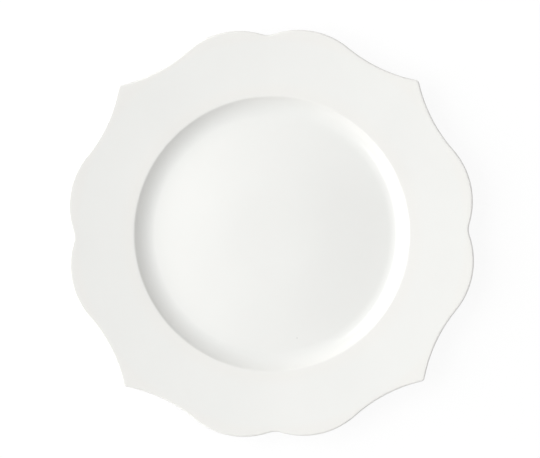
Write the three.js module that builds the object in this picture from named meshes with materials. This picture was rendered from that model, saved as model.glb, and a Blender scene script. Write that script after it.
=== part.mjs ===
// A round serving platter of white porcelain: a well whose floor rises a little to a flat middle, a coved
// verge, a broad rim cut to a scalloped outline with a point on each diagonal, and a foot ring. One fired
// body carries a skin of glaze everywhere but on the foot's bearing edge. Millimetres, +Z up, standing on the
// XY plane with its axis through the origin.
import * as THREE from "three";
import { mergeVertices } from "three/addons/utils/BufferGeometryUtils.js";

// Rim outline, seen from above: notch, lobe, hollow, point, and the same again mirrored
const repeats = 4; // points round the rim
const notchRadius = 155.1; // from the axis to the glazed edge in the notch between two lobes
const lobeRise = 6.2; // crest of a lobe, beyond the notch
const hollowDrop = 0.8; // hollow between a lobe and a point, short of the notch
const pointRise = 10.4; // point, beyond the notch
const notchArc = 16.2; // radius of the curve in the notch
const lobeArc = 62; // radius of a lobe
const pointArc = 3.5; // radius that rounds a point

// Section through the axis
const footHeight = 3.2; // underside above the table, just outside the foot ring
const footWidth = 4.6; // foot ring, inner wall to outer wall
const footInset = 2.6; // foot ring's outer wall, inside the well's lowest circle
const footRound = 0.9; // both corners of the bearing edge
const footFillet = 1.2; // both roots of the foot ring
const floorRadius = 93.3; // well's lowest circle, where floor and cove meet
const floorThickness = 4; // wall of the floor, and of the cove
const floorFall = 3; // degrees that the floor falls outwards, away from its flat middle
const middleRadius = 28.5; // flat middle of the floor
const browRadius = 400; // curve over the edge of the flat middle
const coveRadius = 19.3; // hollow curve from the floor up to the rim
const coveSteepness = 47.5; // degrees, where the cove meets the shoulder
const shoulderRound = 2.6; // edge between cove and rim
const rimSlope = 6.9; // degrees, rising outwards from the shoulder
const rimUpturn = 4.9; // degrees that the rim has steepened by its edge
const rimThickness = 4.2; // rim at the shoulder
const rimRootFillet = 8; // under the rim, where it leaves the cove's back
const lipThickness = 2; // rim at its edge, fully rounded
const glazeThickness = 0.3;
const glazeGap = 0.02; // under the glaze, so that its faces and the body's stay apart

// Facets along each curve
const outlineSteps = { notch: 1, lobe: 5, hollow: 4, point: 2 };
const sectionSteps = { foot: 1, heel: 3, rimRoot: 1, lip: 2, rim: 2, shoulder: 2, cove: 3, brow: 1 };

const { PI, cos, sin, tan } = Math;
const radians = THREE.MathUtils.degToRad;
const quarterTurn = PI / 2;
const nearlyStraight = 1e4; // an arc's radius that is as good as a line
const closeEnough = 1e-9; // where a search for a radius ends
const samePoint = 1e-6; // points nearer than this are one
const edgeSlope = radians(rimSlope + rimUpturn); // the rim's slope where it meets the lip
const vec = (x, y) => new THREE.Vector2(x, y);
const polar = (radius, angle) => vec(radius * cos(angle), radius * sin(angle));
const towards = (from, to) => Math.atan2(to.y - from.y, to.x - from.x);

// Points along an arc. Material lies inside a convex arc and outside a concave one, and grow adds to it.
function arcPoints({ centre, radius, from, to, steps, concave, onLip }, grow) {
  const grown = concave ? radius - grow : radius + grow;
  return Array.from({ length: steps + 1 }, (_, i) => {
    const angle = steps ? from + ((to - from) * i) / steps : from;
    return Object.assign(polar(grown, angle).add(centre), { onLip });
  });
}

// Where a rising function reaches a value, by halving the interval
function solve(rising, value, low, high) {
  const middle = (low + high) / 2;
  if (high - low < closeEnough) return middle;
  return rising(middle) < value ? solve(rising, value, middle, high) : solve(rising, value, low, middle);
}

// Angle at the axis between the centres of two arcs that touch
const spread = (a, b, apart) => Math.acos((a * a + b * b - apart * apart) / (2 * a * b));

// The four arcs from a notch to the next point, each touching the next. Their centres lie at these distances
// from the axis, and the hollow's radius is the one that makes the four fill half a repeat.
function halfRepeat() {
  const notch = notchRadius + notchArc;
  const lobe = notchRadius + lobeRise - lobeArc;
  const point = notchRadius + pointRise - pointArc;
  const toLobe = spread(notch, lobe, notchArc + lobeArc);
  const hollow = (arc) => notchRadius - hollowDrop + arc;
  const toHollow = (arc) => toLobe + spread(lobe, hollow(arc), lobeArc + arc);
  const toPoint = (arc) => toHollow(arc) + spread(hollow(arc), point, arc + pointArc);
  const hollowArc = solve(toPoint, PI / repeats, 0, nearlyStraight);

  const notchCentre = polar(notch, 0);
  const lobeCentre = polar(lobe, toLobe);
  const hollowCentre = polar(hollow(hollowArc), toHollow(hollowArc));
  const pointCentre = polar(point, PI / repeats);
  const notchEnd = towards(lobeCentre, notchCentre);
  const lobeEnd = towards(lobeCentre, hollowCentre);
  const hollowEnd = towards(pointCentre, hollowCentre);
  const arc = (name, centre, radius, from, to, concave) => {
    return { centre, radius, from, to, concave, steps: outlineSteps[name] };
  };
  return [
    arc("notch", notchCentre, notchArc, PI, notchEnd + PI, true),
    arc("lobe", lobeCentre, lobeArc, notchEnd, lobeEnd),
    arc("hollow", hollowCentre, hollowArc, lobeEnd + PI, hollowEnd + PI, true),
    arc("point", pointCentre, pointArc, hollowEnd, PI / repeats),
  ];
}

// The whole outline as points in order round the axis, each with its angle and its distance from the axis
function rimOutline() {
  const half = halfRepeat().flatMap((arc, i) => arcPoints(arc, 0).slice(i ? 1 : 0));
  const there = half.map((p) => ({ angle: p.angle(), radius: p.length() }));
  const back = there.slice(1, -1).reverse();
  const mirrored = back.map(({ angle, radius }) => ({ angle: (2 * PI) / repeats - angle, radius }));
  const turn = (k) => ({ angle, radius }) => ({ angle: angle + (2 * PI * k) / repeats, radius });
  return Array.from({ length: repeats }, (_, k) => [...there, ...mirrored].map(turn(k))).flat();
}

// The section's curves, drawn at a notch: from the recessed base out under the rim, over the lip and back to
// the well's middle
function section() {
  const slope = radians(rimSlope);
  const steep = radians(coveSteepness);
  const fall = radians(floorFall);
  const footOuter = floorRadius - footInset;
  const footInner = footOuter - footWidth;
  const lipRadius = lipThickness / 2;
  const heelRadius = coveRadius + floorThickness;

  // From the well's lowest circle the floor climbs straight inwards, and levels out over the brow
  const cove = vec(floorRadius, footHeight + floorThickness + coveRadius);
  const curved = coveRadius + browRadius;
  const straight = floorRadius - middleRadius - curved * sin(fall);
  const climb = curved * (1 - cos(fall)) + straight * tan(fall);
  const brow = vec(middleRadius, footHeight + floorThickness + climb - browRadius);

  // The base follows the floor, one wall below it, and meets the foot ring in a fillet
  const rootIn = footInner - footFillet;
  const rootInHeight = cove.y - (heelRadius + footFillet + (rootIn - cove.x) * sin(fall)) / cos(fall);

  // Outwards, the cove turns over the shoulder into the rim, a long hollow arc that ends on the lip
  const shoulder = polar(coveRadius + shoulderRound, steep - quarterTurn).add(cove);
  const rimStart = polar(shoulderRound, slope + quarterTurn).add(shoulder);
  const lipIn = notchRadius - glazeThickness - lipRadius;
  const rimArc = (lipIn - rimStart.x - lipRadius * sin(edgeSlope)) / (sin(edgeSlope) - sin(slope));
  const rim = polar(rimArc, slope + quarterTurn).add(rimStart);
  const lip = polar(rimArc + lipRadius, edgeSlope - quarterTurn).add(rim);

  // Under the rim a straight run leaves the lip and thickens to the rim's full thickness below the shoulder
  const underShoulder = polar(rimThickness, slope - quarterTurn).add(rimStart);
  const underSlope = towards(underShoulder, lip) - Math.asin(lipRadius / underShoulder.distanceTo(lip));
  const along = polar(1, underSlope);
  const fromCove = polar(rimRootFillet, underSlope - quarterTurn).add(underShoulder).sub(cove);
  const reach = fromCove.dot(along);
  const run = Math.sqrt(reach ** 2 - fromCove.lengthSq() + (heelRadius + rimRootFillet) ** 2) - reach;
  const rimRoot = along.clone().multiplyScalar(run).add(fromCove).add(cove);
  const heelEnd = towards(cove, rimRoot);

  const footEdge = (x, from, to) => {
    return { centre: vec(x, footRound), radius: footRound, from, to, steps: sectionSteps.foot };
  };
  const footRoot = (x, height, from, to) => {
    return { centre: vec(x, height), radius: footFillet, from, to, steps: sectionSteps.foot, concave: true };
  };
  return {
    base: {
      centre: brow,
      radius: browRadius - floorThickness,
      from: quarterTurn,
      to: quarterTurn - fall,
      steps: sectionSteps.brow,
      concave: true,
    },
    footRootInner: footRoot(rootIn, rootInHeight, quarterTurn - fall, 0),
    footEdgeInner: footEdge(footInner + footRound, PI, 1.5 * PI),
    footEdgeOuter: footEdge(footOuter - footRound, -quarterTurn, 0),
    footRootOuter: footRoot(footOuter + footFillet, footHeight - footFillet, PI, quarterTurn),
    heel: { centre: cove, radius: heelRadius, from: -quarterTurn, to: heelEnd, steps: sectionSteps.heel },
    rimRoot: {
      centre: rimRoot,
      radius: rimRootFillet,
      from: heelEnd + PI,
      to: underSlope + quarterTurn,
      steps: sectionSteps.rimRoot,
      concave: true,
    },
    lip: {
      centre: lip,
      radius: lipRadius,
      from: underSlope - quarterTurn,
      to: edgeSlope + quarterTurn,
      steps: sectionSteps.lip,
      onLip: true,
    },
    rim: {
      centre: rim,
      radius: rimArc,
      from: edgeSlope - quarterTurn,
      to: slope - quarterTurn,
      steps: sectionSteps.rim,
      concave: true,
    },
    shoulder: {
      centre: shoulder,
      radius: shoulderRound,
      from: slope + quarterTurn,
      to: steep + quarterTurn,
      steps: sectionSteps.shoulder,
    },
    cove: {
      centre: cove,
      radius: coveRadius,
      from: steep - quarterTurn,
      to: -fall - quarterTurn,
      steps: sectionSteps.cove,
      concave: true,
    },
    brow: {
      centre: brow,
      radius: browRadius,
      from: quarterTurn - fall,
      to: quarterTurn,
      steps: sectionSteps.brow,
    },
  };
}

const outline = rimOutline();
const curves = section();

// A section point carried round the axis. The lip's points move out along the rim's slope to the outline.
function ring(point) {
  return outline.map(({ angle, radius }) => {
    const out = point.onLip ? radius - notchRadius : 0;
    const place = polar(point.x + out, angle);
    return new THREE.Vector3(place.x, place.y, point.y + out * tan(edgeSlope));
  });
}

// The rings of several arcs in a row. Arcs that touch share the point where they meet.
function rings(arcs, grow) {
  const points = arcs.flatMap((arc) => arcPoints(arc, grow));
  return points.filter((p, i) => i === 0 || p.distanceTo(points[i - 1]) > samePoint).map(ring);
}

// The point on the axis level with a ring
const middle = (loop) => [new THREE.Vector3(0, 0, loop[0].z)];

// Triangles between each ring and the next, as a list of corners. A ring of one point closes as a fan.
function skin(ringList) {
  const corners = [];
  const triangle = (...points) => {
    if (new Set(points).size === 3) corners.push(...points);
  };
  const at = (loop, i) => loop[i % loop.length];
  ringList.slice(1).forEach((outer, j) => {
    const inner = ringList[j];
    outline.forEach((_, i) => {
      triangle(at(inner, i), at(outer, i + 1), at(outer, i));
      triangle(at(inner, i), at(inner, i + 1), at(outer, i + 1));
    });
  });
  return corners;
}

// A layer of glaze: its free surface, the body's surface under it, and the narrow edge where it stops
const layer = (outside, under, edge) => [...skin(outside), ...skin(under).reverse(), ...skin(edge)];

function piece(name, corners, material) {
  const geometry = mergeVertices(new THREE.BufferGeometry().setFromPoints(corners));
  geometry.computeVertexNormals();
  return Object.assign(new THREE.Mesh(geometry, material), { name });
}

const biscuit = new THREE.MeshStandardMaterial({ color: 0xefece4, roughness: 0.85, metalness: 0 });
const whiteGlaze = new THREE.MeshStandardMaterial({ color: 0xf1f1ee, roughness: 0.12, metalness: 0 });

// Which curves belong to which layer. The glaze stops where the foot's bearing edge starts to turn under.
const { base, footRootInner, footEdgeInner, footEdgeOuter, footRootOuter } = curves;
const footOuterLine = { ...footEdgeOuter, from: footEdgeOuter.to, steps: 0 };
const footInnerLine = { ...footEdgeInner, to: footEdgeInner.from, steps: 0 };
const { heel, rimRoot, lip, rim, shoulder, cove, brow } = curves;
const outerCurves = [footRootOuter, heel, rimRoot, lip, rim, shoulder, cove, brow];

function porcelainBody() {
  const all = rings([base, footRootInner, footEdgeInner, footEdgeOuter, ...outerCurves], 0);
  return piece("porcelain_body", skin([middle(all[0]), ...all, middle(all.at(-1))]), biscuit);
}

// Over the well, the rim and the underside, down to the foot's outer wall
function glazeCoat() {
  const covered = (grow) => {
    const all = rings([footOuterLine, ...outerCurves], grow);
    return [...all, middle(all.at(-1))];
  };
  const outside = covered(glazeThickness);
  const under = covered(glazeGap);
  return piece("glaze_coat", layer(outside, under, [under[0], outside[0]]), whiteGlaze);
}

// On the recessed base, inside the foot ring
function baseGlaze() {
  const covered = (grow) => {
    const all = rings([base, footRootInner, footInnerLine], grow);
    return [middle(all[0]), ...all];
  };
  const outside = covered(glazeThickness);
  const under = covered(glazeGap);
  return piece("base_glaze", layer(outside, under, [outside.at(-1), under.at(-1)]), whiteGlaze.clone());
}

const platter = new THREE.Group();
platter.add(porcelainBody(), glazeCoat(), baseGlaze());
export default platter;
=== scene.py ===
import bpy
import math
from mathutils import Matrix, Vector


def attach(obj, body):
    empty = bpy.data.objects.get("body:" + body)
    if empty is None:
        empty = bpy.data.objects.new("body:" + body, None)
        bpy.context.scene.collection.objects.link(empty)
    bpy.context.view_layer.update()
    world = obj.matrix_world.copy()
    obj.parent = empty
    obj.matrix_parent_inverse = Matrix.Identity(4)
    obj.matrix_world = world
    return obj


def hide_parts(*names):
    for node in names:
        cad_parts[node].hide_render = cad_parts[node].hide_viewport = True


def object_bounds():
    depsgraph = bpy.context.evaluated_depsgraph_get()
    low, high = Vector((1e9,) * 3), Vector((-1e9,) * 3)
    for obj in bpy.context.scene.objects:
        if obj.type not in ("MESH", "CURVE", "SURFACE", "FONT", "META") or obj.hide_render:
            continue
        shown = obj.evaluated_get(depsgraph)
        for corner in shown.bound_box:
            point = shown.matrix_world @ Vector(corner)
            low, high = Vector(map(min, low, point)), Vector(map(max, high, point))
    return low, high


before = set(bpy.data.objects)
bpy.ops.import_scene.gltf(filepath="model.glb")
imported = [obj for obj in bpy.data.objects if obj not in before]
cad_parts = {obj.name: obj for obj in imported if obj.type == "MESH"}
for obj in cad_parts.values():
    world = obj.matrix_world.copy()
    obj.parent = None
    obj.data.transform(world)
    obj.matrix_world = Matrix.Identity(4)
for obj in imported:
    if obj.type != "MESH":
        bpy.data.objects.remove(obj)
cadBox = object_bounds()  # the solids' own box, before anything is dressed
print("frame loaded:", ", ".join(sorted(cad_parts)))

mm = 0.001
quarterTurn = math.pi / 2
shared = 0.005         # millimetres; stations closer than this are one
closeEnough = 1e-9     # millimetres; where the search for the hollow's radius ends
nearlyStraight = 1e4   # millimetres; the greatest radius that it tries

# Rim seen from above, one notch to the next point, in millimetres
rimOutline = {
    "repeats": 4,
    "notchRadius": 155.1,   # glazed edge in the notch between two lobes
    "lobeRise": 6.2,
    "hollowDrop": 0.8,
    "pointRise": 10.4,
    "notchArc": 16.2,
    "lobeArc": 62,
    "pointArc": 3.5,
    "offCentre": (-0.45, 0.45),   # the edge's own centre, off the well's axis
    "oval": 0.002,                # fired a little narrower across, and as much longer up and down
    "steps": {"notch": 6, "lobe": 22, "hollow": 14, "point": 8},
}

# Section through the axis, in millimetres and degrees
plateSection = {
    "footHeight": 3.2,
    "footWidth": 4.6,
    "footInset": 2.6,
    "footRound": 0.9,
    "footFillet": 1.2,
    "floorRadius": 93.3,     # well's lowest circle, where floor and cove meet
    "floorThickness": 4,
    "floorFall": 3,          # outwards from the floor's flat middle
    "middleRadius": 28.5,
    "browRadius": 400,
    "coveRadius": 19.3,
    "coveSteepness": 47.5,
    "shoulderRound": 2.6,
    "rimSlope": 6.9,
    "rimUpturn": 4.9,
    "rimThickness": 4.2,
    "rimRootFillet": 8,
    "lipThickness": 2,
    "glaze": 0.3,
    "steps": {
        "base": 6, "foot": 6, "heel": 12, "rimRoot": 7, "lip": 16,
        "rim": 16, "shoulder": 10, "cove": 22, "brow": 6,
    },
    "flats": {"floor": 8, "middle": 4, "under": 10},   # rings across the straight runs
}


def polar(radius, angle):
    return Vector((radius * math.cos(angle), radius * math.sin(angle)))


def towards(start, end):
    return math.atan2(end.y - start.y, end.x - start.x)


def arcAngles(start, end, steps):
    return [start + (end - start) * i / steps for i in range(steps + 1)]


# Angle at the axis between the centres of two arcs that touch
def spread(a, b, apart):
    return math.acos((a * a + b * b - apart * apart) / (2 * a * b))


# The hollow's radius is found by halving, so that the four arcs fill half a repeat
def makeOutline(rim):
    half = math.pi / rim["repeats"]
    notch = rim["notchRadius"] + rim["notchArc"]
    lobe = rim["notchRadius"] + rim["lobeRise"] - rim["lobeArc"]
    point = rim["notchRadius"] + rim["pointRise"] - rim["pointArc"]
    hollowIn = rim["notchRadius"] - rim["hollowDrop"]
    toLobe = spread(notch, lobe, rim["notchArc"] + rim["lobeArc"])

    def toHollow(arc):
        return toLobe + spread(lobe, hollowIn + arc, rim["lobeArc"] + arc)

    low, high = 0.0, nearlyStraight
    while high - low > closeEnough:
        arc = (low + high) / 2
        filled = toHollow(arc) + spread(hollowIn + arc, point, arc + rim["pointArc"])
        low, high = (arc, high) if filled < half else (low, arc)

    notchAt = polar(notch, 0)
    lobeAt = polar(lobe, toLobe)
    hollowAt = polar(hollowIn + arc, toHollow(arc))
    pointAt = polar(point, half)
    notchEnd = towards(lobeAt, notchAt)
    lobeEnd = towards(lobeAt, hollowAt)
    hollowEnd = towards(pointAt, hollowAt)
    arcs = [
        ("notch", notchAt, rim["notchArc"], math.pi, notchEnd + math.pi),
        ("lobe", lobeAt, rim["lobeArc"], notchEnd, lobeEnd),
        ("hollow", hollowAt, arc, lobeEnd + math.pi, hollowEnd + math.pi),
        ("point", pointAt, rim["pointArc"], hollowEnd, half),
    ]
    there = []
    for name, centre, radius, start, end in arcs:
        spots = [centre + polar(radius, a) for a in arcAngles(start, end, rim["steps"][name])]
        there += [(math.atan2(p.y, p.x), p.length) for p in spots[1 if there else 0:]]
    back = [(2 * half - angle, radius) for angle, radius in reversed(there[1:-1])]
    turns = [2 * half * k for k in range(rim["repeats"])]
    whole = [(angle + turn, radius) for turn in turns for angle, radius in there + back]
    return [(angle, radius * (1 - rim["oval"] * math.cos(2 * angle))) for angle, radius in whole]


# Section curves by name: centre, radius, start and end angle, and whether the material lies outside the arc
def makeSection(cut, edgeRadius):
    slope = math.radians(cut["rimSlope"])
    edgeSlope = math.radians(cut["rimSlope"] + cut["rimUpturn"])
    steep = math.radians(cut["coveSteepness"])
    fall = math.radians(cut["floorFall"])
    footOuter = cut["floorRadius"] - cut["footInset"]
    footInner = footOuter - cut["footWidth"]
    lipRound = cut["lipThickness"] / 2
    heelRadius = cut["coveRadius"] + cut["floorThickness"]
    floorHeight = cut["footHeight"] + cut["floorThickness"]

    cove = Vector((cut["floorRadius"], floorHeight + cut["coveRadius"]))
    curved = cut["coveRadius"] + cut["browRadius"]
    straight = cut["floorRadius"] - cut["middleRadius"] - curved * math.sin(fall)
    climb = curved * (1 - math.cos(fall)) + straight * math.tan(fall)
    brow = Vector((cut["middleRadius"], floorHeight + climb - cut["browRadius"]))

    shoulder = cove + polar(cut["coveRadius"] + cut["shoulderRound"], steep - quarterTurn)
    rimStart = shoulder + polar(cut["shoulderRound"], slope + quarterTurn)
    lipIn = edgeRadius - cut["glaze"] - lipRound
    turned = math.sin(edgeSlope) - math.sin(slope)
    rimArc = (lipIn - rimStart.x - lipRound * math.sin(edgeSlope)) / turned
    rim = rimStart + polar(rimArc, slope + quarterTurn)
    lip = rim + polar(rimArc + lipRound, edgeSlope - quarterTurn)

    # the rim's underside runs straight from the lip to its full thickness below the shoulder
    underShoulder = rimStart + polar(cut["rimThickness"], slope - quarterTurn)
    underSlope = towards(underShoulder, lip) - math.asin(lipRound / (lip - underShoulder).length)
    along = polar(1, underSlope)
    fillet = cut["rimRootFillet"]
    fromCove = underShoulder + polar(fillet, underSlope - quarterTurn) - cove
    reach = fromCove.dot(along)
    run = math.sqrt(reach ** 2 - fromCove.length_squared + (heelRadius + fillet) ** 2) - reach
    rimRoot = cove + fromCove + along * run
    heelEnd = towards(cove, rimRoot)

    # the base follows the floor one wall below it, and meets the foot in a fillet
    footRound, footFillet = cut["footRound"], cut["footFillet"]
    edgeIn = Vector((footInner + footRound, footRound))
    edgeOut = Vector((footOuter - footRound, footRound))
    rootOut = Vector((footOuter + footFillet, cut["footHeight"] - footFillet))
    rootIn = Vector((footInner - footFillet, cove.y))
    rootIn.y -= (heelRadius + footFillet + (rootIn.x - cove.x) * math.sin(fall)) / math.cos(fall)
    return {
        "base": (brow, cut["browRadius"] - cut["floorThickness"], quarterTurn, quarterTurn - fall, True),
        "footRootInner": (rootIn, footFillet, quarterTurn - fall, 0, True),
        "footEdgeInner": (edgeIn, footRound, math.pi, 1.5 * math.pi, False),
        "footEdgeOuter": (edgeOut, footRound, -quarterTurn, 0, False),
        "footRootOuter": (rootOut, footFillet, math.pi, quarterTurn, True),
        "heel": (cove, heelRadius, -quarterTurn, heelEnd, False),
        "rimRoot": (rimRoot, fillet, heelEnd + math.pi, underSlope + quarterTurn, True),
        "lip": (lip, lipRound, underSlope - quarterTurn, edgeSlope + quarterTurn, False),
        "rim": (rim, rimArc, edgeSlope - quarterTurn, slope - quarterTurn, True),
        "shoulder": (shoulder, cut["shoulderRound"], slope + quarterTurn, steep + quarterTurn, False),
        "cove": (cove, cut["coveRadius"], steep - quarterTurn, -fall - quarterTurn, True),
        "brow": (brow, cut["browRadius"], quarterTurn - fall, quarterTurn, False),
    }


outline = makeOutline(rimOutline)
curves = makeSection(plateSection, rimOutline["notchRadius"])
rimClimb = math.tan(math.radians(plateSection["rimSlope"] + plateSection["rimUpturn"]))
middleHeight = curves["brow"][0].y + plateSection["browRadius"]
baseHeight = middleHeight - plateSection["floorThickness"]
print("outline points:", len(outline))


# Stations along one curve as (radius, height, share of the rim's outline that they follow).
# The lip follows it wholly, and the rim ever less towards the shoulder.
def stations(name, grow):
    centre, radius, start, end, concave = curves[name]
    grown = radius - grow if concave else radius + grow
    count = plateSection["steps"]["foot" if name.startswith("foot") else name]
    shares = {"lip": (1, 1), "rim": (1, 0)}.get(name, (0, 0))   # at the curve's start and end
    found = []
    for i, angle in enumerate(arcAngles(start, end, count)):
        spot = centre + polar(grown, angle)
        found.append((spot.x, spot.y, shares[0] + (shares[1] - shares[0]) * i / count))
    return found


# Even stations between two others, both left out
def between(a, b, count):
    return [tuple(u + (v - u) * i / (count + 1) for u, v in zip(a, b)) for i in range(1, count + 1)]


# The glazed side of the body, from the foot's outer root to the middle of the well
def outsideRun(grow):
    flats = plateSection["flats"]
    straightBefore = {"lip": flats["under"], "brow": flats["floor"]}
    run = stations("footRootOuter", grow)
    for name in ("heel", "rimRoot", "lip", "rim", "shoulder", "cove", "brow"):
        curve = stations(name, grow)
        run += between(run[-1], curve[0], straightBefore.get(name, 0))
        joined = math.dist(run[-1], curve[0]) < shared
        run += curve[1 if joined else 0:]
    return run + between(run[-1], (0, middleHeight + grow, 0), flats["middle"])


# Height of the glazed floor where it slopes, between the cove and the brow
def slopeHeight(radius):
    low = stations("cove", plateSection["glaze"])[-1]
    high = stations("brow", plateSection["glaze"])[0]
    return low[1] + (high[1] - low[1]) * (low[0] - radius) / (low[0] - high[0])


# The recessed base from its middle to the foot's inner root
def baseRun(grow):
    flats = plateSection["flats"]
    base = stations("base", grow)
    root = stations("footRootInner", grow)
    run = between((0, baseHeight - grow, 0), base[0], flats["middle"]) + base
    return run + between(base[-1], root[0], flats["floor"]) + root


# Slow, repeatable waver round the foot for the line where the glaze was wiped off
def waver(angle, reach):
    waves = ((3, 0.4, 0.3), (7, 1.9, 0.25), (16, 0.8, 0.25), (29, 2.6, 0.2))   # times round, phase, share
    return reach * sum(share * math.sin(count * angle + phase) for count, phase, share in waves)


# One ring of points for each station; a station may carry a function of the angle that lifts it
def ringPoints(station):
    radius, height, follow = station[:3]
    lift = station[3] if len(station) > 3 else None
    shift = follow * Vector(rimOutline["offCentre"])
    points = []
    for angle, edge in outline:
        out = follow * (edge - rimOutline["notchRadius"])
        place = polar(radius + out, angle) + shift
        rise = lift(angle) if lift else 0
        points.append((place.x * mm, place.y * mm, (height + out * rimClimb + rise) * mm))
    return points


# A closed skin over stations in order. firstTip and lastTip are the heights where it meets the axis.
def skinMesh(name, run, firstTip, lastTip):
    count = len(outline)
    verts = [point for station in run for point in ringPoints(station)]
    faces = []
    for ring in range(len(run) - 1):
        here, there = ring * count, (ring + 1) * count
        for i in range(count):
            k = (i + 1) % count
            faces.append((here + i, here + k, there + k, there + i))
    for tip, ring in ((firstTip, 0), (lastTip, len(run) - 1)):
        verts.append((0, 0, tip * mm))
        for i in range(count):
            a, b = ring * count + i, ring * count + (i + 1) % count
            faces.append((a, b, len(verts) - 1) if ring else (b, a, len(verts) - 1))
    mesh = bpy.data.meshes.new(name)
    mesh.from_pydata(verts, [], faces)
    mesh.validate()
    mesh.shade_smooth()
    piece = bpy.data.objects.new(name, mesh)
    bpy.context.scene.collection.objects.link(piece)
    return piece


# Small helpers for node materials
def newMaterial(name):
    material = bpy.data.materials.new(name)
    material.use_nodes = True
    tree = material.node_tree
    shader = tree.nodes["Principled BSDF"]
    return material, tree, shader


def addNode(tree, kind, **settings):
    node = tree.nodes.new(kind)
    for key, value in settings.items():
        setattr(node, key, value)
    return node


def addNoise(tree, place, scale, detail):
    noise = addNode(tree, "ShaderNodeTexNoise")
    noise.inputs["Scale"].default_value = scale
    noise.inputs["Detail"].default_value = detail
    tree.links.new(place, noise.inputs["Vector"])
    return noise.outputs["Fac"]


# Carries a value from one span over to another
def addSpan(tree, value, start, end, **settings):
    span = addNode(tree, "ShaderNodeMapRange", **settings)
    for side, ends in (("From", start), ("To", end)):
        span.inputs[side + " Min"].default_value, span.inputs[side + " Max"].default_value = ends
    tree.links.new(value, span.inputs["Value"])
    return span.outputs["Result"]


def addScale(tree, colour, factor):
    scaled = addNode(tree, "ShaderNodeVectorMath", operation="SCALE")
    tree.links.new(colour, scaled.inputs[0])
    tree.links.new(factor, scaled.inputs["Scale"])
    return scaled.outputs["Vector"]


def addRamp(tree, value, stops):
    ramp = addNode(tree, "ShaderNodeValToRGB")
    elements = ramp.color_ramp.elements
    while len(elements) < len(stops):
        elements.new(1)
    for element, (position, colour) in zip(elements, stops):
        element.position = position
        element.color = (*colour, 1)
    tree.links.new(value, ramp.inputs["Fac"])
    return ramp.outputs["Color"]


def addBump(tree, shader, height, distance):
    bump = addNode(tree, "ShaderNodeBump")
    bump.inputs["Distance"].default_value = distance
    tree.links.new(height, bump.inputs["Height"])
    tree.links.new(bump.outputs["Normal"], shader.inputs["Normal"])


# Shows one shader to the camera, and to what gloss or glass sends on, while the other gives the light
def seenAndGiven(tree, seen, given):
    path = addNode(tree, "ShaderNodeLightPath")
    direct = path.outputs["Is Camera Ray"]
    for name in ("Is Glossy Ray", "Is Transmission Ray"):
        either = addNode(tree, "ShaderNodeMath", operation="MAXIMUM")
        tree.links.new(direct, either.inputs[0])
        tree.links.new(path.outputs[name], either.inputs[1])
        direct = either.outputs[0]
    mix = addNode(tree, "ShaderNodeMixShader")
    tree.links.new(direct, mix.inputs["Fac"])
    tree.links.new(given, mix.inputs[1])
    tree.links.new(seen, mix.inputs[2])
    return mix.outputs[0]


# White glaze: glossy, a little cooler where it pools at the foot of the cove, thinner and warmer on the lip
glazeLook = {
    "white": (0.905, 0.907, 0.882),
    "pooled": (0.895, 0.90, 0.877),
    "thin": (0.908, 0.902, 0.872),
    "poolReach": (0.06, 0.02),    # inside and outside the cove's foot, as shares of the greatest radius
    "shoulderReach": 0.05,        # likewise, outside the shoulder
    "lipReach": 0.03,             # likewise, inside the lip
    "cloudScale": 14.0,           # slow cloudiness of the white, per metre
    "cloudDetail": 3,
    "cloudSpan": (0.3, 0.7),      # the noise's own values that count as thin and thick cloud
    "cloudDepth": 0.02,
    "roughness": (0.07, 0.13),
    "peelScale": 420.0,           # orange peel, per metre
    "peelDetail": 1,
    "peelHeight": 0.00001,
    "ior": 1.52,
    "speckAt": (18.45, -82.55),   # one faint iron speck in the floor, in millimetres
    "speckRadius": (0.2, 0.8),    # its core and its faded edge
    "speckTone": 0.82,
}


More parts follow.
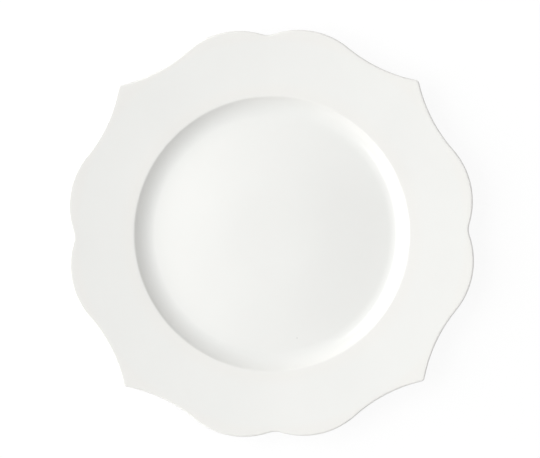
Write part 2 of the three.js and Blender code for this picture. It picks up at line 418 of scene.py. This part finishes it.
def glazeMaterial(look):
    material, tree, shader = newMaterial("white glaze")
    link = tree.links.new
    place = addNode(tree, "ShaderNodeTexCoord").outputs["Object"]

    # distance from the axis picks the glaze's thickness
    flat = addNode(tree, "ShaderNodeVectorMath", operation="MULTIPLY")
    flat.inputs[1].default_value = (1, 1, 0)
    link(place, flat.inputs[0])
    radius = addNode(tree, "ShaderNodeVectorMath", operation="LENGTH")
    link(flat.outputs["Vector"], radius.inputs[0])
    widest = rimOutline["notchRadius"] + rimOutline["pointRise"]
    share = addSpan(tree, radius.outputs["Value"], (0, widest * mm), (0, 1))
    floorEdge = plateSection["floorRadius"] / widest
    shoulderAt = (plateSection["floorRadius"] + plateSection["coveRadius"]) / widest
    lipAt = (rimOutline["notchRadius"] - rimOutline["hollowDrop"]) / widest
    thickness = addRamp(tree, share, [
        (0, look["white"]),
        (floorEdge - look["poolReach"][0], look["white"]),
        (floorEdge + look["poolReach"][1], look["pooled"]),
        (shoulderAt, look["thin"]),
        (shoulderAt + look["shoulderReach"], look["white"]),
        (lipAt - look["lipReach"], look["white"]),
        (lipAt, look["thin"]),
    ])

    # slow clouds in the white and in its gloss
    clouds = addNoise(tree, place, look["cloudScale"], look["cloudDetail"])
    tone = addSpan(tree, clouds, look["cloudSpan"], (1 - look["cloudDepth"], 1))
    mottled = addScale(tree, thickness, tone)
    gloss = addSpan(tree, clouds, look["cloudSpan"], look["roughness"])
    link(gloss, shader.inputs["Roughness"])

    # the speck, on the floor's upper face
    fromSpeck = addNode(tree, "ShaderNodeVectorMath", operation="DISTANCE")
    speckHeight = slopeHeight(math.hypot(*look["speckAt"]))
    fromSpeck.inputs[1].default_value = [v * mm for v in (*look["speckAt"], speckHeight)]
    link(place, fromSpeck.inputs[0])
    fading = [reach * mm for reach in look["speckRadius"]]
    distance = fromSpeck.outputs["Value"]
    speck = addSpan(tree, distance, fading, (look["speckTone"], 1), interpolation_type="SMOOTHSTEP")
    link(addScale(tree, mottled, speck), shader.inputs["Base Color"])

    # orange peel
    peel = addNoise(tree, place, look["peelScale"], look["peelDetail"])
    addBump(tree, shader, peel, look["peelHeight"])
    shader.inputs["IOR"].default_value = look["ior"]
    return material


# Bare fired clay on the foot's edge: matt, fine-grained, a little greyed where it has stood on tables
biscuitLook = {
    "clay": (0.80, 0.775, 0.72),
    "rubbed": (0.62, 0.60, 0.56),
    "rubScale": 70.0,             # per metre
    "rubDetail": 5,
    "rubSpan": (0.52, 0.72),      # the noise's own values that count as clean and as rubbed
    "grainScale": 1500.0,
    "grainDetail": 4,
    "grainHeight": 0.00004,
    "roughness": 0.88,
}


def biscuitMaterial(look):
    material, tree, shader = newMaterial("bare biscuit")
    link = tree.links.new
    place = addNode(tree, "ShaderNodeTexCoord").outputs["Object"]
    rub = addNoise(tree, place, look["rubScale"], look["rubDetail"])
    colour = addNode(tree, "ShaderNodeMix", data_type="RGBA")
    colour.inputs["A"].default_value = (*look["clay"], 1)
    colour.inputs["B"].default_value = (*look["rubbed"], 1)
    link(addSpan(tree, rub, look["rubSpan"], (0, 1)), colour.inputs["Factor"])
    link(colour.outputs["Result"], shader.inputs["Base Color"])
    grain = addNoise(tree, place, look["grainScale"], look["grainDetail"])
    addBump(tree, shader, grain, look["grainHeight"])
    shader.inputs["Roughness"].default_value = look["roughness"]
    return material


whiteGlaze = glazeMaterial(glazeLook)
bareBiscuit = biscuitMaterial(biscuitLook)
print("materials made")

# Fired body: hidden under the glaze except for the foot's bearing edge
bodyPiece = {"name": "porcelain_body_fine", "node": "porcelain_body", "slot": "biscuit"}


def makeBody(piece):
    run = baseRun(0) + stations("footEdgeInner", 0) + stations("footEdgeOuter", 0) + outsideRun(0)
    return skinMesh(piece["name"], run, baseHeight, middleHeight)


# Glaze over the well, the rim and the underside, ending in a wavering rounded bead on the foot's outer wall
coatPiece = {
    "name": "glaze_coat_fine",
    "node": "glaze_coat",
    "slot": "glaze",
    "gap": 0.02,        # under the glaze, clear of the body
    "waver": 0.25,
    "beadSteps": 5,
}


# The glaze's rounded end on a foot wall; side is 1 on the outer wall and -1 on the inner one
def bead(piece, wall, side):
    thick = plateSection["glaze"] - piece["gap"]
    centre = Vector((wall + side * piece["gap"], plateSection["footRound"] + thick))

    def lift(angle):
        return waver(angle + side, piece["waver"])

    spots = [centre + Vector((side * thick * math.sin(a), -thick * math.cos(a)))
             for a in arcAngles(0, quarterTurn, piece["beadSteps"])]
    return [(p.x, p.y, 0.0, lift) for p in spots]


def makeCoat(piece):
    wall = plateSection["floorRadius"] - plateSection["footInset"]
    outside = outsideRun(plateSection["glaze"])
    under = outsideRun(piece["gap"])
    run = list(reversed(under)) + bead(piece, wall, 1) + outside
    return skinMesh(piece["name"], run, middleHeight + piece["gap"], middleHeight + plateSection["glaze"])


# Glaze on the recessed base, inside the foot ring
basePiece = {
    "name": "base_glaze_fine",
    "node": "base_glaze",
    "slot": "glaze",
    "gap": 0.02,
    "waver": 0.25,
    "beadSteps": 5,
}


def makeBase(piece):
    wall = plateSection["floorRadius"] - plateSection["footInset"] - plateSection["footWidth"]
    outside = baseRun(plateSection["glaze"])
    under = baseRun(piece["gap"])
    run = outside + list(reversed(bead(piece, wall, -1))) + list(reversed(under))
    return skinMesh(piece["name"], run, baseHeight - plateSection["glaze"], baseHeight - piece["gap"])


for piece, make, look in (
    (bodyPiece, makeBody, bareBiscuit),
    (coatPiece, makeCoat, whiteGlaze),
    (basePiece, makeBase, whiteGlaze),
):
    made = make(piece)
    made.data.materials.append(look)
    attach(made, "root")
    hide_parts(piece["node"])
    print(piece["name"], "faces:", len(made.data.polygons))

# Pale floor that keeps a soft shadow, white to the camera
floorLook = {
    "size": 12.0,
    "drop": 0.00005,         # keeps the floor and the foot's flat edge apart
    "pale": 0.8,
    "shadowShare": 0.12,     # how much of the shadow the camera sees
    "glow": 0.9,
    "fade": (0.25, 1.2),     # metres over which it turns wholly white, so that no horizon shows
}


def floorMaterial(look):
    material = bpy.data.materials.new("pale floor")
    material.use_nodes = True
    tree = material.node_tree
    tree.nodes.clear()
    link = tree.links.new
    plain, shadowed = (addNode(tree, "ShaderNodeBsdfDiffuse") for _ in range(2))
    for matt, grey in ((plain, look["pale"]), (shadowed, look["shadowShare"])):
        matt.inputs["Color"].default_value = (grey, grey, grey, 1)
    away = addNode(tree, "ShaderNodeVectorMath", operation="LENGTH")
    link(addNode(tree, "ShaderNodeTexCoord").outputs["Object"], away.inputs[0])
    glow = addNode(tree, "ShaderNodeEmission")
    fade = addSpan(tree, away.outputs["Value"], look["fade"], (look["glow"], 1))
    link(fade, glow.inputs["Strength"])
    white = addNode(tree, "ShaderNodeAddShader")
    link(shadowed.outputs[0], white.inputs[0])
    link(glow.outputs[0], white.inputs[1])
    end = addNode(tree, "ShaderNodeOutputMaterial")
    link(seenAndGiven(tree, white.outputs[0], plain.outputs[0]), end.inputs["Surface"])
    return material


def makeFloor(look):
    half = look["size"] / 2
    corners = [(x * half, y * half, -look["drop"]) for x, y in ((-1, -1), (1, -1), (1, 1), (-1, 1))]
    mesh = bpy.data.meshes.new("floor")
    mesh.from_pydata(corners, [], [(0, 1, 2, 3)])
    mesh.materials.append(floorMaterial(look))
    floor = bpy.data.objects.new("floor", mesh)
    bpy.context.scene.collection.objects.link(floor)


# Soft studio light: an even room and one large soft panel on the left, kept out of the gloss, where it would
# glare from the other side. A narrow panel at its upper edge gives the gloss its highlight instead.
roomLight = {"given": 0.487, "seen": 1.0}   # strength of its light, and of the white that shows
keyPanel = {
    "name": "key panel",
    "azimuth": 172,
    "elevation": 36,
    "distance": 1.5,
    "size": (1.63, 1.8),
    "watts": 26.2,
    "lights": True,       # falls on the surfaces
    "reflected": False,   # shows in their gloss
}
glintPanel = {
    "name": "glint panel",
    "azimuth": 172,
    "elevation": 60,
    "distance": 1.5,
    "size": (1.63, 0.4),
    "watts": 4.5,
    "lights": False,
    "reflected": True,
}


def makeRoom(light):
    world = bpy.data.worlds.new("studio")
    bpy.context.scene.world = world
    world.use_nodes = True
    tree = world.node_tree
    tree.nodes.clear()
    skies = {}
    for name, strength in light.items():
        sky = addNode(tree, "ShaderNodeBackground")
        sky.inputs["Color"].default_value = (1, 1, 1, 1)
        sky.inputs["Strength"].default_value = strength
        skies[name] = sky.outputs[0]
    end = addNode(tree, "ShaderNodeOutputWorld")
    tree.links.new(seenAndGiven(tree, **skies), end.inputs["Surface"])


def makePanel(light):
    lamp = bpy.data.lights.new(light["name"], "AREA")
    lamp.shape = "RECTANGLE"
    lamp.size, lamp.size_y = light["size"]
    lamp.energy = light["watts"]
    panel = bpy.data.objects.new(light["name"], lamp)
    bpy.context.scene.collection.objects.link(panel)
    panel.visible_diffuse = light["lights"]
    panel.visible_glossy = light["reflected"]
    away = polar(light["distance"], math.radians(light["elevation"]))   # out along the floor, and up
    flat = polar(away.x, math.radians(light["azimuth"]))
    panel.location = (flat.x, flat.y, away.y)
    panel.rotation_euler = panel.location.to_track_quat("Z", "Y").to_euler()


makeFloor(floorLook)
makeRoom(roomLight)
makePanel(keyPanel)
makePanel(glintPanel)
print("studio lit")

# Camera straight above, as in the picture
cameraSetup = {
    "frame": (540, 458),           # picture size in pixels
    "centre": (271.75, 233.95),    # well's axis in the picture, in pixels
    "pixel": 0.7815,               # millimetres a pixel at the rim
    "turn": 1.05,                  # degrees that the platter is turned in the picture
    "height": 1.6,                 # metres above the rim
    "sensor": 36.0,
}


def makeCamera(setup):
    data = bpy.data.cameras.new("camera")
    data.sensor_fit = "HORIZONTAL"
    data.sensor_width = setup["sensor"]
    wide = setup["frame"][0] * setup["pixel"] * mm
    data.lens = setup["sensor"] * setup["height"] / wide
    camera = bpy.data.objects.new("camera", data)
    bpy.context.scene.collection.objects.link(camera)
    turn = -math.radians(setup["turn"])
    across = (setup["frame"][0] / 2 - setup["centre"][0]) * setup["pixel"] * mm
    up = (setup["centre"][1] - setup["frame"][1] / 2) * setup["pixel"] * mm
    camera.location = (
        across * math.cos(turn) - up * math.sin(turn),
        across * math.sin(turn) + up * math.cos(turn),
        setup["height"] + cadBox[1].z,
    )
    camera.rotation_euler = (0, 0, turn)
    bpy.context.scene.camera = camera


makeCamera(cameraSetup)
bpy.context.scene.view_settings.view_transform = "Standard"
print("camera placed")
